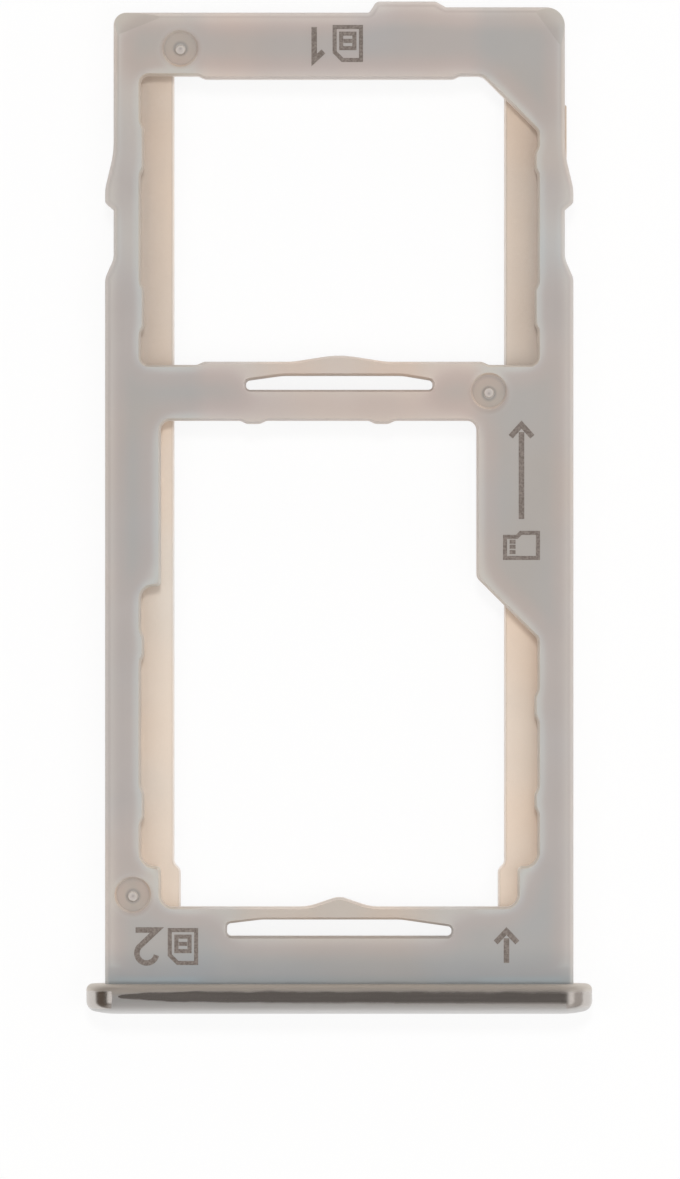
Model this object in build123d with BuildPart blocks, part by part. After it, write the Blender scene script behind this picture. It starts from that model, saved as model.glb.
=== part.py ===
import os
from math import cos, radians, sin, tan

from build123d import *

os.makedirs("parts", exist_ok=True)

# Cards that the tray carries
sim_width = 12.30
sim_length = 8.80
sim_thickness = 0.67
sim_corner = 1.65
memory_width = 11.00
memory_length = 15.00
memory_nose = 9.70

# Play around the cards
sim_side_play = 0.12
sim_pad_play = 0.02
first_end_play = 0.07
second_end_play = 0.025
memory_side_play = 0.14
memory_end_play = 0.185
card_sink = 0.08

# Bars and rails of the tray
side_rail = 1.13
root_bar = 2.43
cross_bar = 1.86
nose_bar = 2.09
second_sim_rise = 1.28

# Ledges under the cards
ledge_thickness = 0.45
ledge_width = 1.05
near_ledge_width = 0.62
memory_ledge_width = 0.42
memory_sink = 0.10

# Pads on the side walls: side, place from the pocket's near wall (far wall if negative), length
first_pads = [(-1, -2.19, 1.70), (-1, 1.69, 1.60), (1, -2.59, 0.90), (1, 1.74, 1.50)]
second_pads = [(-1, -1.88, 1.00), (-1, 1.94, 1.20), (1, -3.77, 1.00), (1, 2.07, 0.82)]
pad_slope = 25

# Lands on the first pocket's end walls, between relieved corners
land_proud = 0.10
near_relief_left = 1.78
near_relief_right = 1.55
far_relief_left = 1.82
far_relief_right = 0.71

# Crush ribs on the memory pocket's far wall: middle
ribs = [-2.72, 1.35]
rib_length = 0.84
rib_proud = 0.10

# Springs: the bump that presses a card, and the slot that lets its beam flex
first_bump_width = 2.96
first_bump_height = 0.23
first_bump_crest = 3.00
first_bump_foot = 2.00
second_bump_width = 1.96
second_bump_height = 0.33
second_bump_crest = 0.65
second_bump_foot = 1.50
first_beam = 0.44
first_slot_length = 5.90
first_slot_height = 0.45
first_slot_ends = [(0.29, 1.15), (0.29, 0.95)]
second_beam = 0.40
second_slot_length = 7.10
second_slot_height = 0.53
second_slot_ends = [(0.40, 1.10), (0.30, 1.60)]
slot_end_round = 0.14
slot_ramp_round = 2.00

# Far end with its key tab
shoulder_step = 0.17
tab_height = 0.35
tab_start = 1.17
tab_width = 1.88
tab_left_slope = 0.22
tab_right_slope = 0.32
tab_round = 0.20
tab_foot_round = 0.10
far_left_round = 0.40
far_right_round = 0.58

# Detent on both sides, in order from the first pocket's near wall
side_step = 0.27
notch_rise = 2.64
notch_ramp = 0.62
notch_length = 1.53
hook_back = 0.23
hook_land = 0.45
hook_ramp = 1.13
notch_round = 0.60
hook_foot_round = 0.08
hook_tip_round = 0.15
hook_top_round = 1.50
hook_end_round = 3.00

# Rub rib on one side only
rub_proud = 0.06
rub_length = 1.54
rub_height = 0.60

# Lead-in bevels at the far corners
lead_angle = 14
left_lead_back = 0.76
left_lead_in = 1.90
right_lead_back = 1.42
right_lead_in = 1.03

# Gate marks of the moulding
gate_radius = 0.58
gate_depth = 0.14
gate_taper = 25
nub_radius = 0.17
nub_height = 0.10
nub_shift = 0.05
nub_taper = 20
nose_gate_inset = 2.38
nose_gate_rise = 0.95
cross_gate_inset = 2.67
root_gate_rise = 0.38

# Corners and edges
wall_round = 0.25
knee_round = 0.15
first_corner_round = 0.25
cut_corner_round = 0.40
second_corner_round = 0.44
step_corner_round = 0.38
nose_corner_round = 0.30
outer_round = 0.20
ledge_round = 0.10
rim_edge = 0.07
rim_drop = 0.25
under_edge = 0.12

# End cap
cap_overhang = 0.60
cap_height = 2.00
cap_depth = 0.96
cap_crown = 0.15
cap_rear_round = 0.20
cap_front_round = 0.34

# Dovetail of the tray in the cap's rear face
tongue_inset = 0.90
tongue_depth = 0.45
tongue_neck = 0.50
tongue_root = 0.80

# Across the tray
sim_half = sim_width / 2 + sim_side_play
memory_half = memory_width / 2 + memory_side_play
nose_wall = memory_nose + 2 * memory_side_play - memory_half
pad_proud = sim_side_play - sim_pad_play
body_half = sim_half + side_rail
guide_half = body_half - side_step
first_window_half = sim_half - ledge_width
second_window_half = memory_half - memory_ledge_width
near_window_half = memory_half - near_ledge_width
cap_half = body_half + cap_overhang

# Along the tray, from the seat on the cap
memory_near = root_bar
memory_far = memory_near + memory_length + 2 * memory_end_play
second_near = memory_near + second_sim_rise
second_far = second_near + sim_length + 2 * second_end_play
first_near = memory_far + cross_bar
first_far = first_near + sim_length + 2 * first_end_play
far_edge = first_far + nose_bar
shoulder = far_edge + shoulder_step
tab_edge = far_edge + tab_height
notch_start = first_near + notch_rise
notch_end = notch_start + notch_ramp
hook_foot = notch_end + notch_length
hook_tip = hook_foot + hook_back
hook_top = hook_tip + hook_land
hook_end = hook_top + hook_ramp
seat_y = (cap_depth - tab_edge) / 2

# How near an edge lies to the place where it is looked for, and how far a corner turns at least, in degrees
hair = 0.01
slight_turn = 5

# Heights
first_depth = sim_thickness + card_sink
second_depth = first_depth + memory_sink
body_thickness = first_depth + ledge_thickness
cap_mid = cap_height / 2
under_face = cap_mid - body_thickness / 2
top_face = under_face + body_thickness


# A level plane at a height, with its origin in the middle of the seat
def level(height):
    return Plane((0, seat_y, height))


# A plane across the tray at x, with its origin on the seat at the cap's mid height
def section(x):
    return Plane((x, seat_y, cap_mid), x_dir=(0, 1, 0), z_dir=(1, 0, 0))


# The corner of a sketch that lies nearest to a point
def corner_at(sketch, point):
    return sketch.vertices().sort_by_distance(point)[0]


# A face with straight sides and round corners, from x, y and radius of each corner
def rounded_face(corners):
    with BuildSketch() as face:
        with BuildLine():
            FilletPolyline(*[(x, y) for x, y, _ in corners], radius=[r for _, _, r in corners], close=True)
        make_face()
    return face.sketch_local


# Corners where the outline of a sketch turns, without the places where a side runs into an arc
def sharp_corners(sketch):
    sides = sketch.wire().order_edges()
    pairs = zip(sides[-1:] + sides[:-1], sides)
    turned = [after @ 0 for before, after in pairs if (before % 1).get_angle(after % 0) > slight_turn]
    return ShapeList(corner_at(sketch, point) for point in turned)


# Rounds the listed corners by their own radius and the other sharp ones by wall_round
def round_corners(sketch, own_radius):
    own = ShapeList(corner_at(sketch, point) for point, _ in own_radius)
    fillet(sharp_corners(sketch) - own, wall_round)
    for point, radius in own_radius:
        fillet(corner_at(sketch, point), radius)


# A low pad that the pocket leaves standing on its wall. It points to +Y at a turn of 0
def wall_pad(x, y, length, proud, turn):
    with Locations((x, y)):
        Trapezoid(
            length + 2 * proud / tan(radians(pad_slope)),
            2 * proud,
            pad_slope,
            rotation=turn,
            align=(Align.CENTER, Align.CENTER),
            mode=Mode.SUBTRACT,
        )


def side_pads(pads, near, far):
    for side, place, length in pads:
        y = place + (near if place > 0 else far)
        wall_pad(side * sim_half, y, length, pad_proud, 90 * side)


# The bump of a spring beam, a low triangle on the pocket's near wall with as much below the wall
def spring_bump(wall, width, height):
    Polygon(
        (-width, wall - height),
        (width, wall - height),
        (0, wall + height),
        align=None,
        mode=Mode.SUBTRACT,
    )


# Pocket of the first SIM
def first_pocket(sketch):
    near = first_near - land_proud
    far = first_far + land_proud
    cut_x = sim_half - sim_corner - land_proud
    cut_y = first_far - sim_corner
    Polygon((-sim_half, near), (sim_half, near), (sim_half, cut_y), (cut_x, far), (-sim_half, far), align=None)
    side_pads(first_pads, first_near, first_far)
    near_left = near_relief_left - sim_half
    near_right = sim_half - near_relief_right
    far_left = far_relief_left - sim_half
    far_right = cut_x - far_relief_right
    wall_pad((near_left + near_right) / 2, near, near_right - near_left, land_proud, 0)
    wall_pad((far_left + far_right) / 2, far, far_right - far_left, land_proud, 180)
    spring_bump(first_near, first_bump_width, first_bump_height)
    round_corners(
        sketch,
        [
            ((-sim_half, near), first_corner_round),
            ((sim_half, near), first_corner_round),
            ((cut_x, far), cut_corner_round),
            ((-first_bump_width / 2, first_near), first_bump_foot),
            ((first_bump_width / 2, first_near), first_bump_foot),
            ((0, first_near + first_bump_height), first_bump_crest),
        ],
    )


# Pocket shared by the second SIM and the memory card. The slope at the SIM's cut corner runs on to the nose
def second_pocket(sketch):
    cut_y = second_far - sim_corner
    slope = cut_y + sim_half
    sim = [
        (-sim_half, second_near, second_corner_round),
        (sim_half, second_near, second_corner_round),
        (sim_half, cut_y, 0),
        (slope - second_far, second_far, 0),
        (-sim_half, second_far, step_corner_round),
    ]
    memory = [
        (-memory_half, memory_near, step_corner_round),
        (memory_half, memory_near, step_corner_round),
        (memory_half, slope - memory_half, 0),
        (nose_wall, slope - nose_wall, 0),
        (nose_wall, memory_far, nose_corner_round),
        (-memory_half, memory_far, nose_corner_round),
    ]
    add(rounded_face(sim))
    add(rounded_face(memory))
    side_pads(second_pads, second_near, second_far)
    for x in ribs:
        wall_pad(x, memory_far, rib_length, rib_proud, 180)
    spring_bump(memory_near, second_bump_width, second_bump_height)
    # Knees where the SIM's outline leaves the memory card's side walls
    knees = sharp_corners(sketch).filter_by(lambda corner: abs(abs(corner.X) - memory_half) < hair)
    fillet(knees, knee_round)
    round_corners(
        sketch,
        [
            ((nose_wall, slope - nose_wall), nose_corner_round),
            ((-second_bump_width / 2, memory_near), second_bump_foot),
            ((second_bump_width / 2, memory_near), second_bump_foot),
            ((0, memory_near + second_bump_height), second_bump_crest),
        ],
    )


# Slot behind a spring beam. Its far edge slopes down over a ramp to a low end on the left and right
def spring_slot(near, length, height, ends):
    half = length / 2
    far = near + height
    (left_end, left_ramp), (right_end, right_ramp) = ends
    corners = [
        (-half, near, slot_end_round),
        (half, near, slot_end_round),
        (half, near + right_end, slot_end_round),
        (half - right_ramp, far, slot_ramp_round),
        (left_ramp - half, far, slot_ramp_round),
        (-half, near + left_end, slot_end_round),
    ]
    return rounded_face(corners)


# Edges of a window at the top of its ledges, without the foot of the end walls
def window_edges(part, ledge, half):
    edges = part.edges().filter_by(Axis.X, reverse=True)
    edges = edges.filter_by_position(Axis.Z, ledge - hair, ledge + hair)
    return edges.filter_by_position(Axis.X, -half - hair, half + hair)


# Dovetail section, shared by the tray's tongue and the cap's groove
def tongue_section():
    Polygon(
        (0, -tongue_neck / 2),
        (0, tongue_neck / 2),
        (-tongue_depth, tongue_root / 2),
        (-tongue_depth, -tongue_root / 2),
        align=None,
    )


# Plane that takes off a far corner, from a crease on the top face down to the corner's outer edges
def lead_plane(side, edge, back, inward):
    crease = Vector(side * guide_half, seat_y + edge - back, top_face)
    along = Vector(-side * inward, back, 0).normalized()
    outward = Vector(side * along.Y, -side * along.X, 0)
    lean = radians(lead_angle)
    return Plane(crease, x_dir=along, z_dir=outward * sin(lean) + Vector(0, 0, cos(lean)))


# One long side from the seat to the far corner: x, y and corner radius
flank = [
    (body_half, 0, 0),
    (body_half, notch_start, notch_round),
    (guide_half, notch_end, notch_round),
    (guide_half, hook_foot, hook_foot_round),
    (body_half, hook_tip, hook_tip_round),
    (body_half, hook_top, hook_top_round),
    (guide_half, hook_end, hook_end_round),
]
tab_end = tab_start + tab_width
far_side = [
    (guide_half, shoulder, far_right_round),
    (tab_end + tab_right_slope, shoulder, tab_foot_round),
    (tab_end, tab_edge, tab_round),
    (tab_start, tab_edge, tab_round),
    (tab_start - tab_left_slope, far_edge, tab_foot_round),
    (-guide_half, far_edge, far_left_round),
]
outline = flank + far_side + [(-x, y, r) for x, y, r in reversed(flank)]

gates = [
    (nose_gate_inset - body_half, first_far + nose_gate_rise),
    (body_half - cross_gate_inset, (memory_far + first_near) / 2),
    (-(body_half + memory_half) / 2, memory_near + root_gate_rise),
]

with BuildPart() as card_tray:
    with BuildSketch(level(under_face)):
        add(rounded_face(outline))
    extrude(amount=body_thickness)
    fillet(card_tray.faces().sort_by(Axis.Z)[-1].edges().sort_by(Axis.Y)[1:], outer_round)
    chamfer(card_tray.faces().sort_by(Axis.Z)[0].edges().sort_by(Axis.Y)[1:], under_edge)
    split(bisect_by=lead_plane(-1, far_edge, left_lead_back, left_lead_in), keep=Keep.BOTTOM)
    split(bisect_by=lead_plane(1, shoulder, right_lead_back, right_lead_in), keep=Keep.BOTTOM)

    # First pocket, and its window between the ledges
    with BuildSketch(level(top_face)) as first_card:
        first_pocket(first_card)
    extrude(amount=-first_depth, mode=Mode.SUBTRACT)
    with BuildSketch(level(top_face)) as first_window:
        first_pocket(first_window)
        with Locations((0, (first_near + first_far) / 2)):
            Rectangle(2 * first_window_half, 2 * sim_length, mode=Mode.INTERSECT)
    extrude(amount=-body_thickness, mode=Mode.SUBTRACT)

    # Second pocket, with a window that narrows near the cap
    with BuildSketch(level(top_face)) as second_card:
        second_pocket(second_card)
    extrude(amount=-second_depth, mode=Mode.SUBTRACT)
    with BuildSketch(level(top_face)) as second_window:
        second_pocket(second_window)
        step = (second_window_half - near_window_half) / 2
        Polygon(
            (-near_window_half, 0),
            (near_window_half, 0),
            (near_window_half, second_near - step),
            (second_window_half, second_near + step),
            (second_window_half, first_near),
            (-second_window_half, first_near),
            (-second_window_half, second_near + step),
            (-near_window_half, second_near - step),
            align=None,
            mode=Mode.INTERSECT,
        )
        for side in (-1, 1):
            fillet(corner_at(second_window, (side * near_window_half, second_near - step)), wall_round)
            fillet(corner_at(second_window, (side * second_window_half, second_near + step)), wall_round)
    extrude(amount=-body_thickness, mode=Mode.SUBTRACT)
    fillet(window_edges(card_tray, top_face - first_depth, first_window_half), ledge_round)
    fillet(window_edges(card_tray, top_face - second_depth, second_window_half), ledge_round)

    with BuildSketch(level(top_face)):
        near = first_near - first_beam - first_slot_height
        add(spring_slot(near, first_slot_length, first_slot_height, first_slot_ends))
        near = memory_near - second_beam - second_slot_height
        add(spring_slot(near, second_slot_length, second_slot_height, second_slot_ends))
    extrude(amount=-body_thickness, mode=Mode.SUBTRACT)

    # Steep lead-in round each pocket and slot
    top = card_tray.faces().filter_by(GeomType.PLANE).sort_by(Axis.Z)[-1]
    rims = [edge for rim in top.inner_wires() for edge in rim.edges()]
    chamfer(rims, rim_edge, rim_drop, reference=top)

    # Gate marks: a dished spot with the broken stub of the runner in it
    with BuildSketch(level(top_face)):
        with Locations(*gates):
            Circle(gate_radius)
    extrude(amount=-gate_depth, taper=gate_taper, mode=Mode.SUBTRACT)
    with BuildSketch(level(top_face - gate_depth)):
        with Locations(*[(x, y - nub_shift) for x, y in gates]):
            Circle(nub_radius)
    extrude(amount=nub_height, taper=nub_taper)

    # Rub rib, which runs out into the ramp of the hook
    with BuildSketch(level(under_face)):
        rub_run = rub_proud * hook_ramp / side_step
        rub_end = hook_end + rub_length
        Polygon(
            (guide_half - rub_proud, hook_end + rub_run),
            (guide_half + rub_proud, hook_end - rub_run),
            (guide_half + rub_proud, rub_end - rub_proud),
            (guide_half - rub_proud, rub_end + rub_proud),
            align=None,
        )
    extrude(amount=rub_height)

    with BuildSketch(section(0)):
        tongue_section()
    extrude(amount=body_half - tongue_inset, both=True)

card_tray.part.label = "card_tray"
export_step(card_tray.part, "parts/card_tray.step")

with BuildPart() as end_cap:
    cap_straight = cap_half - cap_mid
    with BuildSketch(section(cap_straight)) as half_section:
        front = (-cap_depth, 0)
        edge = (cap_crown - cap_depth, cap_mid)
        with BuildLine():
            TangentArc(front, edge, tangent=(0, 1))
            Polyline(edge, (0, cap_mid), (0, 0), front)
        make_face()
        fillet(corner_at(half_section, (0, cap_mid)), cap_rear_round)
        fillet(corner_at(half_section, edge), cap_front_round)
    extrude(amount=-cap_straight)
    mirror(about=Plane.XY.offset(cap_mid))
    revolve(half_section.sketch, axis=Axis((cap_straight, 0, cap_mid), (0, 1, 0)), revolution_arc=180)
    mirror(about=Plane.YZ)
    with BuildSketch(section(0)):
        tongue_section()
    extrude(amount=body_half - tongue_inset, both=True, mode=Mode.SUBTRACT)

end_cap.part.label = "end_cap"
export_step(end_cap.part, "parts/end_cap.step")
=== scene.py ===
import bpy
import numpy as np
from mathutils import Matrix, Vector


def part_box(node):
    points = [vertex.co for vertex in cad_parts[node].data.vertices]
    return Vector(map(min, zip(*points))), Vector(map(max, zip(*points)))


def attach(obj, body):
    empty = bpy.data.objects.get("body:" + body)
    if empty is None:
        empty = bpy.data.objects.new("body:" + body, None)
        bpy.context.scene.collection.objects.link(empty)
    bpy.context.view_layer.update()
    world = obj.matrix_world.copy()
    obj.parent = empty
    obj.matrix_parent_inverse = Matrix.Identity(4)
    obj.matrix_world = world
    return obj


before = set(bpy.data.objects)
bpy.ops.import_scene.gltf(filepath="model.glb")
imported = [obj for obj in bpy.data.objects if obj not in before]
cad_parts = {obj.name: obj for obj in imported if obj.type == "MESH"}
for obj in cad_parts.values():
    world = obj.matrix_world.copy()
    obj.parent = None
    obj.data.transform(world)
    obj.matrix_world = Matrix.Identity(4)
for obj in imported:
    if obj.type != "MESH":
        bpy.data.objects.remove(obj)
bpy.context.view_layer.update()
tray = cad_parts["card_tray"]
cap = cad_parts["end_cap"]
mm = 0.001
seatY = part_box("end_cap")[1].y
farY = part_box("card_tray")[1].y
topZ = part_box("card_tray")[1].z

# Photo pixels: scale on the top face, row of the cap's seat, column of the tray's middle
photo = {"width": 680, "height": 1179, "perMm": 31.66, "seatRow": 984, "middleColumn": 339.25}
pixel = mm / photo["perMm"]
print("frame loaded", len(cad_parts), "nodes")


# Place on the tray of a photo pixel
def atPixel(column, row):
    return (column - photo["middleColumn"]) * pixel, seatY + (photo["seatRow"] - row) * pixel


# sRGB as a colour picker shows it, 0 to 255, to the linear values that Blender takes
def srgb(red, green, blue):
    c = np.array([red, green, blue]) / 255
    linear = np.where(c <= 0.04045, c / 12.92, ((c + 0.055) / 1.055) ** 2.4)
    return (*linear.tolist(), 1.0)


def newMaterial(name):
    material = bpy.data.materials.new(name)
    material.use_nodes = True
    material.node_tree.nodes.clear()
    return material, material.node_tree.nodes, material.node_tree.links


def addNode(nodes, kind, **values):
    node = nodes.new(kind)
    for key, value in values.items():
        setattr(node, key, value)
    return node


# A math node on sockets or plain numbers
def calc(nodes, links, operation, *terms):
    node = addNode(nodes, "ShaderNodeMath", operation=operation)
    for socket, term in zip(node.inputs, terms):
        if isinstance(term, (int, float)):
            socket.default_value = term
        else:
            links.new(term, socket)
    return node.outputs[0]


# Step of a value, 0 at the start and 1 at the end, which may lie either way round. Soft if not linear
def fade(nodes, links, value, start, end, kind="SMOOTHSTEP"):
    node = addNode(nodes, "ShaderNodeMapRange", interpolation_type=kind)
    node.inputs["From Min"].default_value = start
    node.inputs["From Max"].default_value = end
    links.new(value, node.inputs["Value"])
    return node.outputs["Result"]


# Blend of two colours, each a socket or a plain colour, by a mask socket
def blend(nodes, links, mask, base, colour, kind="MIX"):
    node = addNode(nodes, "ShaderNodeMix", data_type="RGBA", blend_type=kind)
    links.new(mask, node.inputs["Factor"])
    for socket, value in ((node.inputs["A"], base), (node.inputs["B"], colour)):
        if isinstance(value, tuple):
            socket.default_value = value
        else:
            links.new(value, socket)
    return node.outputs["Result"]


def addRamp(nodes, links, value, stops):
    ramp = nodes.new("ShaderNodeValToRGB")
    elements = ramp.color_ramp.elements
    while len(elements) < len(stops):
        elements.new(0.5)
    for element, (place, colour) in zip(elements, stops):
        element.position = place
        element.color = colour
    links.new(value, ramp.inputs["Fac"])
    return ramp.outputs["Color"]


def wear(obj, material):
    obj.data.materials.clear()
    obj.data.materials.append(material)


# Group of sockets in and out, with its group input and output nodes
def newGroup(name, takes, gives):
    group = bpy.data.node_groups.new(name, "ShaderNodeTree")
    for label, kind in takes:
        group.interface.new_socket(label, in_out="INPUT", socket_type="NodeSocket" + kind)
    for label, kind in gives:
        group.interface.new_socket(label, in_out="OUTPUT", socket_type="NodeSocket" + kind)
    return group, group.nodes.new("NodeGroupInput").outputs, group.nodes.new("NodeGroupOutput").inputs


# Grain: noise stretched along an axis, as a value round zero
def grainGroup():
    takes = [("Vector", "Vector"), ("Stretch", "Vector"), ("Scale", "Float"), ("Detail", "Float")]
    group, take, give = newGroup("grain", takes, [("Value", "Float")])
    nodes, links = group.nodes, group.links
    stretch = addNode(nodes, "ShaderNodeVectorMath", operation="MULTIPLY")
    links.new(take["Vector"], stretch.inputs[0])
    links.new(take["Stretch"], stretch.inputs[1])
    noise = addNode(nodes, "ShaderNodeTexNoise", noise_dimensions="3D")
    links.new(stretch.outputs[0], noise.inputs["Vector"])
    links.new(take["Scale"], noise.inputs["Scale"])
    links.new(take["Detail"], noise.inputs["Detail"])
    links.new(calc(nodes, links, "SUBTRACT", noise.outputs["Fac"], 0.5), give["Value"])
    return group


# Softbox: a bright spot in the world round a direction, with a soft edge
def softboxGroup():
    vectors = [("Direction", "Vector"), ("Squeeze", "Vector"), ("Toward", "Vector")]
    takes = vectors + [("Edge", "Float"), ("Full", "Float"), ("Level", "Float")]
    group, take, give = newGroup("softbox", takes, [("Value", "Float")])
    nodes, links = group.nodes, group.links
    squeeze = addNode(nodes, "ShaderNodeVectorMath", operation="MULTIPLY")
    links.new(take["Direction"], squeeze.inputs[0])
    links.new(take["Squeeze"], squeeze.inputs[1])
    unit = addNode(nodes, "ShaderNodeVectorMath", operation="NORMALIZE")
    links.new(squeeze.outputs[0], unit.inputs[0])
    facing = addNode(nodes, "ShaderNodeVectorMath", operation="DOT_PRODUCT")
    links.new(unit.outputs[0], facing.inputs[0])
    links.new(take["Toward"], facing.inputs[1])
    step = addNode(nodes, "ShaderNodeMapRange", interpolation_type="SMOOTHSTEP")
    links.new(facing.outputs["Value"], step.inputs["Value"])
    links.new(take["Edge"], step.inputs["From Min"])
    links.new(take["Full"], step.inputs["From Max"])
    links.new(calc(nodes, links, "MULTIPLY", step.outputs["Result"], take["Level"]), give["Value"])
    return group


grain = grainGroup()
softbox = softboxGroup()


def addGrain(nodes, links, coords, stretch, scale, detail):
    node = addNode(nodes, "ShaderNodeGroup", node_tree=grain)
    links.new(coords, node.inputs["Vector"])
    node.inputs["Stretch"].default_value = stretch
    node.inputs["Scale"].default_value = scale
    node.inputs["Detail"].default_value = detail
    return node.outputs["Value"]


def addBump(nodes, links, height, distance, strength):
    bump = nodes.new("ShaderNodeBump")
    bump.inputs["Distance"].default_value = distance
    bump.inputs["Strength"].default_value = strength
    links.new(height, bump.inputs["Height"])
    return bump.outputs["Normal"]


def finishMaterial(nodes, links, shader):
    output = nodes.new("ShaderNodeOutputMaterial")
    links.new(shader.outputs[0], output.inputs["Surface"])


# Translucent moulding: its colour follows how much plastic lies behind the surface, grey where thick,
# and paler and warmer where thin as painted light shining through the thin plastic
mouldingLook = {
    "depth": 0.9 * mm,
    "samples": 18,
    "tintAndGlowByDepth": [
        (0.05, srgb(224, 213, 201)),
        (0.105, srgb(215, 200, 185)),
        (0.145, srgb(209, 195, 181)),
        (0.18, srgb(192, 178, 165)),
        (0.25, srgb(186, 170, 157)),
        (0.32, srgb(183, 178, 172)),
        (0.45, srgb(183, 180, 175)),
        (0.57, srgb(182, 177, 172)),
        (0.63, srgb(179, 175, 172)),
        (0.68, srgb(174, 168, 165)),
        (0.73, srgb(171, 164, 161)),
        (0.87, srgb(169, 163, 160)),
        (1.00, srgb(164, 162, 160)),
    ],
    "seatReach": 1.4 * mm,
    "seatTint": (0.76, 0.84, 0.89, 1),
    "barStart": 4.8 * mm,
    "barEnd": 4.0 * mm,
    "rootEnd": 2.6 * mm,
    "rootSoft": 1.0 * mm,
    "barTint": (1.075, 1.02, 1.0, 1),
    "paleFrom": 0.95,
    "paleFull": 0.6,
    "rimGlowTint": (1.05, 1.05, 1.05, 1),
    "stripStart": 6.85 * mm,
    "stripEnd": 7.2 * mm,
    "farStripStart": 0.95 * mm,
    "farStripEnd": 0.60 * mm,
    "stripGlowTint": (1.06, 1.06, 1.05, 1),
    "thinBelow": 0.80 * mm,
    "thinSoft": 0.02 * mm,
    "flatFrom": 0.5,
    "flatFull": 0.9,
    "thinGlowTint": (1.04, 1.03, 1.02, 1),
    "leadReach": 4.0 * mm,
    "leadSoft": 1.0 * mm,
    "leadUpward": 0.97,
    "leadSpread": 0.012,
    "leadShadeTint": (0.93, 0.93, 0.92, 1),
    "steepFrom": 0.985,
    "steepFull": 0.75,
    "steepGlowColour": srgb(230, 222, 215),
    "wallShare": 0.85,
    "rimShare": 0.25,
    "rimBelow": 1.30 * mm,
    "rimSoft": 0.1 * mm,
    "lineDepth": 0.30 * mm,
    "lineSamples": 12,
    "lineStart": 1.0,
    "lineFull": 0.82,
    "lineHold": 0.68,
    "lineEnd": 0.5,
    "rimHighlightTint": (1.03, 1.08, 1.10, 1),
    "edgeFull": 0.85,
    "rimEdgeShadeTint": (0.96, 0.92, 0.86, 1),
    "seamReach": 0.10 * mm,
    "seamSharp": 0.02 * mm,
    "seamRagged": 0.10 * mm,
    "seamStretch": (0.3, 1, 1),
    "seamScale": 2500,
    "seamDetail": 3,
    "seamGapAndShadeTint": (0.80, 0.79, 0.78, 1),
    "gates": [(180.5, 48.5), (489.0, 393.5), (133.0, 896.0)],  # column and row of photo pixels
    "gateRim": 0.60 * mm,
    "gateClear": 0.70 * mm,
    "gateReach": 3.0 * mm,
    "ringsFrom": 0.3 * mm,
    "ringsFull": 0.2 * mm,
    "gateShadeAndHighlight": [
        (0.00, (0.74, 0.73, 0.72, 1)),
        (0.02, (1.12, 1.10, 1.08, 1)),
        (0.0475, (1.12, 1.10, 1.08, 1)),
        (0.0625, (0.80, 0.77, 0.74, 1)),
        (0.09, (1.15, 1.05, 0.96, 1)),
        (0.15, (1.12, 1.03, 0.95, 1)),
        (0.185, (0.95, 0.90, 0.86, 1)),
        (0.23, (1.05, 1.02, 0.99, 1)),
        (0.60, (1.06, 1.02, 0.99, 1)),
        (1.00, (1.0, 1.0, 1.0, 1)),
    ],
    "mottleScale": 900,
    "mottleDetail": 3,
    "mottle": 0.06,
    "cloudScale": 260,
    "cloudDetail": 1,
    "cloudFull": 0.25,
    "coolTint": (0.955, 1.0, 1.04, 1),
    "warmTint": (1.035, 0.995, 0.96, 1),
    "roughness": 0.46,
    "grainScale": 9000,
    "grainDetail": 2,
    "grainHeight": 0.004 * mm,
    "grainStrength": 0.5,
}


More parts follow.
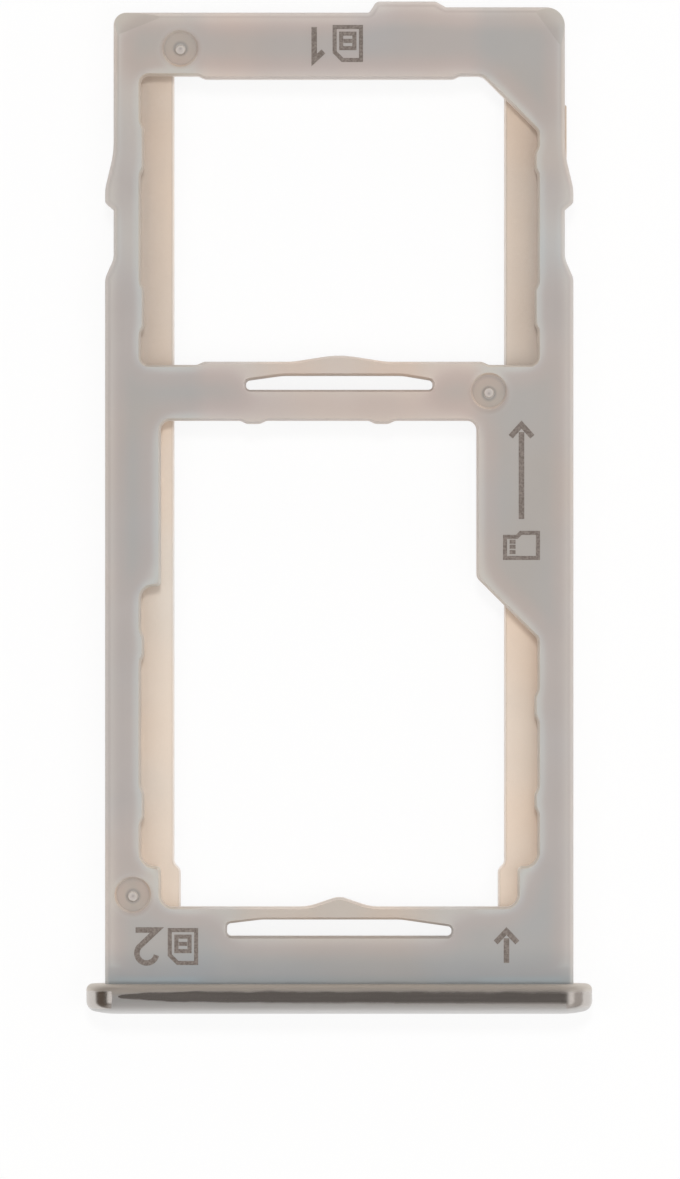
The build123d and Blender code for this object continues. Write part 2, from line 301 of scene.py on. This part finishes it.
def mouldingMaterial(look):
    material, nodes, links = newMaterial("translucentMoulding")
    coords = nodes.new("ShaderNodeTexCoord").outputs["Object"]
    split = nodes.new("ShaderNodeSeparateXYZ")
    links.new(coords, split.inputs[0])
    normal = nodes.new("ShaderNodeSeparateXYZ")
    links.new(nodes.new("ShaderNodeNewGeometry").outputs["Normal"], normal.inputs[0])
    upward = normal.outputs["Z"]

    # Plastic behind the surface. The end on the cap counts as thick and lies in its shade
    behind = addNode(nodes, "ShaderNodeAmbientOcclusion", inside=True, only_local=True)
    behind.samples = look["samples"]
    behind.inputs["Distance"].default_value = look["depth"]
    atSeat = fade(nodes, links, split.outputs["Y"], seatY + look["seatReach"], seatY)
    depth = calc(nodes, links, "MAXIMUM", behind.outputs["AO"], atSeat)
    # Body colour, with painted light shining through where the plastic is thin
    colour = addRamp(nodes, links, depth, look["tintAndGlowByDepth"])
    colour = blend(nodes, links, atSeat, colour, look["seatTint"], "MULTIPLY")

    # Dark ragged line in the seam: the gap of the joint, with painted contact shade
    ragged = addGrain(nodes, links, coords, look["seamStretch"], look["seamScale"], look["seamDetail"])
    fromSeat = calc(nodes, links, "SUBTRACT", split.outputs["Y"], seatY)
    fromSeam = calc(nodes, links, "MULTIPLY_ADD", ragged, look["seamRagged"], fromSeat)
    inSeam = fade(nodes, links, fromSeam, look["seamReach"], look["seamSharp"])
    colour = blend(nodes, links, inSeam, colour, look["seamGapAndShadeTint"], "MULTIPLY")

    # Bars between the windows are warmer, and painted paler towards their rims with light shining
    # through the thin plastic
    side = calc(nodes, links, "ABSOLUTE", split.outputs["X"])
    inMiddle = fade(nodes, links, side, look["barStart"], look["barEnd"])
    pastRoot = fade(nodes, links, fromSeat, look["rootEnd"], look["rootEnd"] + look["rootSoft"])
    onBar = calc(nodes, links, "MULTIPLY", inMiddle, pastRoot)
    colour = blend(nodes, links, onBar, colour, look["barTint"], "MULTIPLY")
    shallow = fade(nodes, links, depth, look["paleFrom"], look["paleFull"])
    atRim = calc(nodes, links, "MULTIPLY", onBar, shallow)
    colour = blend(nodes, links, atRim, colour, look["rimGlowTint"], "MULTIPLY")

    # Paler strip along the outer edges, and paler thin ledges: painted light shining through the thin
    # plastic
    atSide = fade(nodes, links, side, look["stripStart"], look["stripEnd"])
    farStart, farEnd = farY - look["farStripStart"], farY - look["farStripEnd"]
    atFar = fade(nodes, links, split.outputs["Y"], farStart, farEnd)
    strip = calc(nodes, links, "MAXIMUM", atSide, atFar)
    colour = blend(nodes, links, strip, colour, look["stripGlowTint"], "MULTIPLY")
    below, soft = look["thinBelow"], look["thinSoft"]
    low = fade(nodes, links, split.outputs["Z"], below + soft, below - soft)
    flatTop = fade(nodes, links, upward, look["flatFrom"], look["flatFull"])
    thin = calc(nodes, links, "MULTIPLY", low, flatTop)
    colour = blend(nodes, links, thin, colour, look["thinGlowTint"], "MULTIPLY")

    # Painted shade on the lead-in bevels at the far corners, told by their lean
    lead = calc(nodes, links, "COMPARE", upward, look["leadUpward"], look["leadSpread"])
    leadStart = farY - look["leadReach"]
    inReach = fade(nodes, links, split.outputs["Y"], leadStart, leadStart + look["leadSoft"])
    lead = calc(nodes, links, "MULTIPLY", lead, inReach)
    colour = blend(nodes, links, lead, colour, look["leadShadeTint"], "MULTIPLY")

    # Steep faces painted paler, as light shining out of them, more in the walls than at the rims
    lean = calc(nodes, links, "ABSOLUTE", upward)
    steep = fade(nodes, links, lean, look["steepFrom"], look["steepFull"])
    wallTop = look["rimBelow"] - look["rimSoft"]
    inWall = fade(nodes, links, split.outputs["Z"], look["rimBelow"], wallTop)
    more = look["wallShare"] - look["rimShare"]
    share = calc(nodes, links, "MULTIPLY_ADD", inWall, more, look["rimShare"])
    steep = calc(nodes, links, "MULTIPLY", steep, share)
    colour = blend(nodes, links, steep, colour, look["steepGlowColour"])

    # Distance from the nearest gate
    flat = addNode(nodes, "ShaderNodeVectorMath", operation="MULTIPLY")
    flat.inputs[1].default_value = (1, 1, 0)
    links.new(coords, flat.inputs[0])
    nearest = None
    for column, row in look["gates"]:
        gap = addNode(nodes, "ShaderNodeVectorMath", operation="DISTANCE")
        gap.inputs[1].default_value = (*atPixel(column, row), 0)
        links.new(flat.outputs[0], gap.inputs[0])
        gap = gap.outputs["Value"]
        nearest = gap if nearest is None else calc(nodes, links, "MINIMUM", nearest, gap)

    # Rims of the pockets on the rails: a painted bluish highlight on the top face, beside a tan edge of
    # painted shade
    near = addNode(nodes, "ShaderNodeAmbientOcclusion", inside=True, only_local=True)
    near.samples = look["lineSamples"]
    near.inputs["Distance"].default_value = look["lineDepth"]
    onRail = calc(nodes, links, "SUBTRACT", 1.0, calc(nodes, links, "MAXIMUM", inMiddle, strip))
    offGate = fade(nodes, links, nearest, look["gateRim"], look["gateClear"])
    onRail = calc(nodes, links, "MULTIPLY", onRail, offGate)
    onRim = fade(nodes, links, split.outputs["Z"], wallTop, look["rimBelow"])
    onRim = calc(nodes, links, "MULTIPLY", onRim, onRail)
    towardRim = fade(nodes, links, near.outputs["AO"], look["lineStart"], look["lineFull"])
    offEdge = fade(nodes, links, near.outputs["AO"], look["lineEnd"], look["lineHold"])
    line = calc(nodes, links, "MULTIPLY", towardRim, onRim)
    line = calc(nodes, links, "MULTIPLY", line, offEdge)
    colour = blend(nodes, links, line, colour, look["rimHighlightTint"], "MULTIPLY")
    leaning = fade(nodes, links, upward, look["steepFrom"], look["edgeFull"])
    edge = calc(nodes, links, "MULTIPLY", leaning, onRim)
    colour = blend(nodes, links, edge, colour, look["rimEdgeShadeTint"], "MULTIPLY")

    # Gate marks: painted shade rings at the dimple walls and round the nub, a painted highlight on the
    # nub and paler floors, by the distance from the gate, on and just under the top face
    fromGate = calc(nodes, links, "DIVIDE", nearest, look["gateReach"])
    rings = addRamp(nodes, links, fromGate, look["gateShadeAndHighlight"])
    onTop = fade(nodes, links, split.outputs["Z"], topZ - look["ringsFrom"], topZ - look["ringsFull"])
    colour = blend(nodes, links, onTop, colour, rings, "MULTIPLY")

    # Clouds of cool and warm tint, and fine mottling
    clouds = addGrain(nodes, links, coords, (1, 1, 1), look["cloudScale"], look["cloudDetail"])
    warm = fade(nodes, links, clouds, 0, look["cloudFull"])
    cool = fade(nodes, links, clouds, 0, -look["cloudFull"])
    colour = blend(nodes, links, warm, colour, look["warmTint"], "MULTIPLY")
    colour = blend(nodes, links, cool, colour, look["coolTint"], "MULTIPLY")
    mottle = addGrain(nodes, links, coords, (1, 1, 1), look["mottleScale"], look["mottleDetail"])
    amount = calc(nodes, links, "MULTIPLY_ADD", mottle, look["mottle"], 1.0)
    tint = addNode(nodes, "ShaderNodeVectorMath", operation="SCALE")
    links.new(colour, tint.inputs[0])
    links.new(amount, tint.inputs["Scale"])

    fine = addGrain(nodes, links, coords, (1, 1, 1), look["grainScale"], look["grainDetail"])
    shader = nodes.new("ShaderNodeBsdfPrincipled")
    shader.inputs["Roughness"].default_value = look["roughness"]
    links.new(tint.outputs[0], shader.inputs["Base Color"])
    bumped = addBump(nodes, links, fine, look["grainHeight"], look["grainStrength"])
    links.new(bumped, shader.inputs["Normal"])
    finishMaterial(nodes, links, shader)
    return material


wear(tray, mouldingMaterial(mouldingLook))
print("tray finished")

# Brushed bar: fine lines along its length
brushedLook = {
    "colour": srgb(198, 192, 187),
    "satinColour": srgb(220, 219, 218),
    "rearReflectionColour": srgb(226, 219, 211),
    "rearStart": 0.45 * mm,
    "rearEnd": 0.20 * mm,
    "bandMiddle": 0.415 * mm,
    "bandHalf": 0.195 * mm,
    "bandSlant": 0.0045,
    "bandEnd": 0.08 * mm,
    "bandSoft": 0.068 * mm,
    "softSlant": 0.0055,
    "bandRagged": 0.10 * mm,
    "raggedStretch": (0.4, 1, 1),
    "raggedScale": 3000,
    "raggedDetail": 3,
    "taperStart": -4.4 * mm,
    "taperEnd": -6.98 * mm,
    "tipPower": 0.25,
    "endStart": 7.15 * mm,
    "endFull": 7.20 * mm,
    "poleReach": 0.45 * mm,
    "poleFull": 0.315 * mm,
    "roughness": 0.20,
    "satinRoughness": 0.62,
    "roughnessSpread": 0.20,
    "stretch": (0.02, 1, 1),
    "lineScale": 16000,
    "lineDetail": 4,
    "lineHeight": 0.003 * mm,
    "lineStrength": 0.5,
}


def brushedMaterial(look):
    material, nodes, links = newMaterial("brushedBar")
    coords = nodes.new("ShaderNodeTexCoord").outputs["Object"]
    lines = addGrain(nodes, links, coords, look["stretch"], look["lineScale"], look["lineDetail"])

    # Polished band with ragged borders along the sides. It widens and softens along X, has a blunt tip
    # at one end, and is broader on both round ends. The rest is satin, with a tan rear edge that is a
    # painted reflection of the tray's plastic
    split = nodes.new("ShaderNodeSeparateXYZ")
    links.new(coords, split.inputs[0])
    stretch, scale = look["raggedStretch"], look["raggedScale"]
    ragged = addGrain(nodes, links, coords, stretch, scale, look["raggedDetail"])
    inward = calc(nodes, links, "SUBTRACT", seatY, split.outputs["Y"])
    inward = calc(nodes, links, "MULTIPLY_ADD", ragged, look["bandRagged"], inward)
    along = split.outputs["X"]
    side = calc(nodes, links, "ABSOLUTE", along)
    atEnd = fade(nodes, links, side, look["endStart"], look["endFull"])
    slant = calc(nodes, links, "MULTIPLY", along, look["bandSlant"])
    extra = calc(nodes, links, "SUBTRACT", look["bandEnd"], slant)
    wider = calc(nodes, links, "MULTIPLY_ADD", atEnd, extra, slant)
    soft = calc(nodes, links, "MULTIPLY_ADD", along, look["softSlant"], look["bandSoft"])
    offMiddle = calc(nodes, links, "SUBTRACT", inward, look["bandMiddle"])
    offMiddle = calc(nodes, links, "SUBTRACT", offMiddle, wider)
    offMiddle = calc(nodes, links, "ABSOLUTE", offMiddle)
    tip = fade(nodes, links, along, look["taperEnd"], look["taperStart"], "LINEAR")
    tip = calc(nodes, links, "POWER", tip, look["tipPower"])
    tip = calc(nodes, links, "MAXIMUM", tip, atEnd)
    half = calc(nodes, links, "ADD", calc(nodes, links, "ADD", wider, look["bandHalf"]), soft)
    half = calc(nodes, links, "SUBTRACT", calc(nodes, links, "MULTIPLY", half, tip), soft)
    overBorder = calc(nodes, links, "DIVIDE", calc(nodes, links, "SUBTRACT", offMiddle, half), soft)
    satin = fade(nodes, links, overBorder, -1, 1)
    rear = fade(nodes, links, inward, look["rearStart"], look["rearEnd"])
    satinColour = blend(nodes, links, rear, look["satinColour"], look["rearReflectionColour"])
    colour = blend(nodes, links, satin, look["colour"], satinColour)
    shader = nodes.new("ShaderNodeBsdfPrincipled")
    links.new(colour, shader.inputs["Base Color"])
    shader.inputs["Metallic"].default_value = 1
    roughness = calc(nodes, links, "MULTIPLY_ADD", lines, look["roughnessSpread"], look["roughness"])
    rougher = look["satinRoughness"] - look["roughness"]
    roughness = calc(nodes, links, "MULTIPLY_ADD", satin, rougher, roughness)
    links.new(roughness, shader.inputs["Roughness"])

    # Round the poles of the domed ends the mesh's own facets give the normal
    geometry = nodes.new("ShaderNodeNewGeometry").outputs
    capLow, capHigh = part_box("end_cap")
    radius = (capHigh.z - capLow.z) / 2
    pole = nodes.new("ShaderNodeCombineXYZ")
    links.new(side, pole.inputs["X"])
    links.new(split.outputs["Z"], pole.inputs["Z"])
    gap = addNode(nodes, "ShaderNodeVectorMath", operation="DISTANCE")
    links.new(pole.outputs[0], gap.inputs[0])
    gap.inputs[1].default_value = (capHigh.x - radius, 0, capLow.z + radius)
    atPole = fade(nodes, links, gap.outputs["Value"], look["poleReach"], look["poleFull"])
    smooth = addNode(nodes, "ShaderNodeMix", data_type="VECTOR")  # vectors: inputs 4 and 5, output 1
    links.new(atPole, smooth.inputs["Factor"])
    links.new(geometry["Normal"], smooth.inputs[4])
    links.new(geometry["True Normal"], smooth.inputs[5])
    bumped = addBump(nodes, links, lines, look["lineHeight"], look["lineStrength"])
    links.new(smooth.outputs[1], bumped.node.inputs["Normal"])
    links.new(bumped, shader.inputs["Normal"])
    finishMaterial(nodes, links, shader)
    return material


wear(cap, brushedMaterial(brushedLook))
print("cap finished")

# Laser marks: plain pictograms and numbers. Strokes are given for a mark of height 1
markLook = {
    "height": 1.04 * mm,
    "stroke": 0.175 * mm,
    "thin": 0.13 * mm,
    "proud": 0.004 * mm,
    "sunk": 0.003 * mm,
    "dark": srgb(106, 97, 91),
    "pale": srgb(134, 125, 119),
    "hatchScale": 16000,
    "hatchDetail": 2,
    "hatchDark": 0.35,
    "hatchPale": 0.65,
    "roughness": 0.7,
}


# Points on a circle between two angles in degrees
def arc(x, y, radius, start, end, count=20):
    turn = np.radians(np.linspace(start, end, count))
    return np.stack([x + radius * np.cos(turn), y + radius * np.sin(turn)], 1)


# Signs: each stroke is a path, the name of its width, and whether it is closed
one = [(np.array([(-0.26, 0.24), (0.02, 0.5), (0.02, -0.5)]), "stroke", False)]
two = [(np.concatenate([arc(0, 0.2, 0.3, 168, -38), [(-0.31, -0.5), (0.34, -0.5)]]), "stroke", False)]
simCard = [
    (np.array([(-0.4, -0.5), (0.4, -0.5), (0.4, 0.26), (0.16, 0.5), (-0.4, 0.5)]), "thin", True),
    (np.array([(-0.2, -0.3), (0.2, -0.3), (0.2, 0.14), (-0.2, 0.14)]), "thin", True),
    (np.array([(-0.13, -0.08), (0.13, -0.08)]), "thin", False),
]
memoryOutline = [(-0.38, -0.5), (0.38, -0.5), (0.38, 0.02), (0.26, 0.14), (0.26, 0.5), (-0.38, 0.5)]
memoryCard = [
    (np.array(memoryOutline), "thin", True),
    (np.array([(-0.2, 0.18), (-0.2, 0.36)]), "thin", False),
    (np.array([(-0.04, 0.18), (-0.04, 0.36)]), "thin", False),
    (np.array([(0.11, 0.18), (0.11, 0.36)]), "thin", False),
]
arrowRow = [
    (np.array([(-1.4, 0), (1.24, 0)]), "stroke", False),
    (np.array([(1.1, 0.33), (1.47, 0), (1.1, -0.33)]), "stroke", False),
]
arrow = [
    (np.array([(0, -0.5), (0, 0.25)]), "stroke", False),
    (np.array([(-0.33, 0.12), (0, 0.47), (0.33, 0.12)]), "stroke", False),
]


# A flat bar carried along a path: at each point two corners to the left and two to the right, on a mitre
def strokeSurface(path, width, closed, low, high):
    ahead = np.roll(path, -1, 0) - path
    ahead /= np.linalg.norm(ahead, axis=1, keepdims=True)
    after = np.stack([-ahead[:, 1], ahead[:, 0]], 1)
    after = after if closed else np.concatenate([after[:-1], after[-2:-1]])
    before = np.roll(after, 1, 0)
    before = before if closed else np.concatenate([after[:1], before[1:]])
    mitre = (before + after) / (1 + (before * after).sum(1, keepdims=True)) * width / 2
    count = len(path)
    corners = np.zeros((count, 4, 3))
    corners[:, :2, :2] = (path + mitre)[:, None]
    corners[:, 2:, :2] = (path - mitre)[:, None]
    corners[:, :, 2] = [low, high, high, low]
    here = np.arange(count if closed else count - 1)[:, None] * 4
    there = (here + 4) % (count * 4)
    k = np.arange(4)
    sides = np.stack([here + k, here + (k + 1) % 4, there + (k + 1) % 4, there + k], -1).reshape(-1, 4)
    ends = np.array([(0, 3, 2, 1), (4 * count - 4, 4 * count - 3, 4 * count - 2, 4 * count - 1)])
    return corners.reshape(-1, 3), sides if closed else np.concatenate([sides, ends])


# A mark is a row of signs in their reading direction, turned round its middle and set on the top face
def makeMark(name, mark, look, material):
    vertices, faces, start = [], [], 0
    for sign, shift in mark["signs"]:
        for path, width, closed in sign:
            points = (path + (shift, 0)) * look["height"]
            corners, quads = strokeSurface(points, look[width], closed, -look["sunk"], look["proud"])
            vertices.append(corners)
            faces.append(quads + start)
            start += len(corners)
    vertices = np.concatenate(vertices)
    angle = np.radians(mark["turn"])
    spin = np.array([(np.cos(angle), np.sin(angle)), (-np.sin(angle), np.cos(angle))])
    vertices[:, :2] = vertices[:, :2] @ spin + atPixel(*mark["middle"])
    vertices[:, 2] += topZ
    mesh = bpy.data.meshes.new(name)
    mesh.from_pydata(vertices.tolist(), [], np.concatenate(faces).tolist())
    piece = bpy.data.objects.new(name, mesh)
    bpy.context.scene.collection.objects.link(piece)
    wear(piece, material)
    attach(piece, "root")


def laserMaterial(look):
    material, nodes, links = newMaterial("laserMark")
    coords = nodes.new("ShaderNodeTexCoord").outputs["Object"]
    hatch = addGrain(nodes, links, coords, (1, 1, 1), look["hatchScale"], look["hatchDetail"])
    stops = [(look["hatchDark"], look["dark"]), (look["hatchPale"], look["pale"])]
    colour = addRamp(nodes, links, calc(nodes, links, "ADD", hatch, 0.5), stops)
    shader = nodes.new("ShaderNodeBsdfPrincipled")
    shader.inputs["Roughness"].default_value = look["roughness"]
    links.new(colour, shader.inputs["Base Color"])
    finishMaterial(nodes, links, shader)
    return material


# Column and row of a mark's middle in photo pixels, its turn in degrees, and its signs with their shifts
marks = {
    "firstSimMark": {"middle": (333, 43.5), "turn": 180, "signs": [(simCard, -0.45), (one, 0.55)]},
    "secondSimMark": {"middle": (166.5, 946.5), "turn": 180, "signs": [(simCard, -0.5), (two, 0.6)]},
    "insertMark": {"middle": (506.5, 946.5), "turn": 0, "signs": [(arrow, 0)]},
    "memoryMark": {"middle": (521.5, 496), "turn": 90, "signs": [(memoryCard, -1.5), (arrowRow, 0.7)]},
}
laser = laserMaterial(markLook)
for markName, mark in marks.items():
    makeMark(markName, mark, markLook, laser)
print("marks made")

# Pale floor. The camera, gloss and glass see it near white, with the object's shadow in it
floorLook = {"half": 1.5, "below": 0.01 * mm, "colour": (0.9, 0.9, 0.9, 1), "glowShare": 0.88}


def makeFloor(look):
    half, z = look["half"], -look["below"]
    corners = np.array([[-half, -half, z], [half, -half, z], [half, half, z], [-half, half, z]])
    mesh = bpy.data.meshes.new("floor")
    mesh.from_pydata(corners.tolist(), [], [(0, 1, 2, 3)])
    floor = bpy.data.objects.new("floor", mesh)
    bpy.context.scene.collection.objects.link(floor)
    material, nodes, links = newMaterial("paleFloor")
    path = nodes.new("ShaderNodeLightPath").outputs
    seen = calc(nodes, links, "MAXIMUM", path["Is Camera Ray"], path["Is Glossy Ray"])
    seen = calc(nodes, links, "MAXIMUM", seen, path["Is Transmission Ray"])
    matt = nodes.new("ShaderNodeBsdfDiffuse")
    matt.inputs["Color"].default_value = look["colour"]
    mixed = nodes.new("ShaderNodeMixShader")
    links.new(calc(nodes, links, "MULTIPLY", seen, look["glowShare"]), mixed.inputs[0])
    links.new(matt.outputs[0], mixed.inputs[1])
    links.new(nodes.new("ShaderNodeEmission").outputs[0], mixed.inputs[2])
    finishMaterial(nodes, links, mixed)
    wear(floor, material)


makeFloor(floorLook)

# Studio: a world that is pale round the horizon and dark overhead, with softboxes, and broad lamps above
studio = {
    "byHeight": [
        (0.00, (0.68, 0.68, 0.68, 1)),
        (0.06, (0.50, 0.49, 0.48, 1)),
        (0.14, (0.16, 0.13, 0.11, 1)),
        (0.50, (0.15, 0.12, 0.10, 1)),
        (0.90, (0.14, 0.13, 0.12, 1)),
        (1.00, (0.14, 0.13, 0.125, 1)),
    ],
    "softboxes": [  # squeeze, direction, cosines where it starts and is full, level
        ((1, 1, 1), (0.0, -0.80, 0.60), 0.72, 0.94, 0.42),
        ((1, 1, 1), (0.0, 0.87, 0.50), 0.80, 0.95, 0.34),
        ((1, 0.4, 1), (-0.485, 0.0, 0.875), 0.9816, 0.9877, 0.85),
        ((1, 0.4, 1), (-0.259, 0.0, 0.966), 0.961, 0.9945, 0.10),
        ((1, 0.4, 1), (0.602, 0.0, 0.799), 0.956, 0.9945, 0.50),
        ((1, 0.4, 1), (0.848, 0.0, 0.530), 0.83, 0.94, 0.38),
    ],
    "lamps": [  # name, place, size, power
        ("keyLamp", (0.0, 0.192, 0.526), 0.10, 1.06),
        ("leftLamp", (-0.45, -0.15, 0.45), 0.40, 0.46),
        ("rightLamp", (0.045, -0.03, 0.125), 0.08, 0.028),
        ("lowLeftLamp", (-0.5, 0.0, 0.12), 0.30, 0.45),
        ("lowRightLamp", (0.5, 0.0, 0.12), 0.30, 0.45),
        ("lowFarLamp", (0.0, 0.5, 0.12), 0.30, 0.45),
        ("lowNearLamp", (0.0, -0.5, 0.12), 0.30, 0.30),
    ],
}


def lightStudio(setup):
    world = bpy.data.worlds.new("studio")
    bpy.context.scene.world = world
    world.use_nodes = True
    nodes, links = world.node_tree.nodes, world.node_tree.links
    nodes.clear()
    direction = nodes.new("ShaderNodeTexCoord").outputs["Generated"]
    split = nodes.new("ShaderNodeSeparateXYZ")
    links.new(direction, split.inputs[0])
    light = addRamp(nodes, links, split.outputs["Z"], setup["byHeight"])
    for squeeze, toward, edge, full, bright in setup["softboxes"]:
        box = addNode(nodes, "ShaderNodeGroup", node_tree=softbox)
        links.new(direction, box.inputs["Direction"])
        box.inputs["Squeeze"].default_value = squeeze
        box.inputs["Toward"].default_value = toward
        box.inputs["Edge"].default_value = edge
        box.inputs["Full"].default_value = full
        box.inputs["Level"].default_value = bright
        total = addNode(nodes, "ShaderNodeVectorMath", operation="ADD")
        links.new(light, total.inputs[0])
        links.new(box.outputs["Value"], total.inputs[1])
        light = total.outputs[0]
    background = nodes.new("ShaderNodeBackground")
    links.new(light, background.inputs["Color"])
    output = nodes.new("ShaderNodeOutputWorld")
    links.new(background.outputs[0], output.inputs["Surface"])
    for name, place, size, power in setup["lamps"]:
        lamp = bpy.data.lights.new(name, "AREA")
        lamp.shape = "DISK"
        lamp.size = size
        lamp.energy = power
        obj = bpy.data.objects.new(name, lamp)
        obj.location = place
        obj.rotation_euler = (-Vector(place)).to_track_quat("-Z", "Y").to_euler()
        obj.visible_camera = False
        obj.visible_glossy = False
        bpy.context.scene.collection.objects.link(obj)


lightStudio(studio)

# Camera straight above the middle of the photo
lens = {"distance": 0.420, "sensor": 36, "clipStart": 1.0 * mm}


def placeCamera(setup):
    data = bpy.data.cameras.new("camera")
    data.sensor_width = setup["sensor"]
    data.lens = setup["sensor"] * setup["distance"] / (photo["height"] * pixel)
    data.clip_start = setup["clipStart"]
    camera = bpy.data.objects.new("camera", data)
    camera.location = (*atPixel(photo["width"] / 2, photo["height"] / 2), topZ + setup["distance"])
    bpy.context.scene.collection.objects.link(camera)
    bpy.context.scene.camera = camera


placeCamera(lens)
bpy.context.scene.view_settings.view_transform = "Standard"
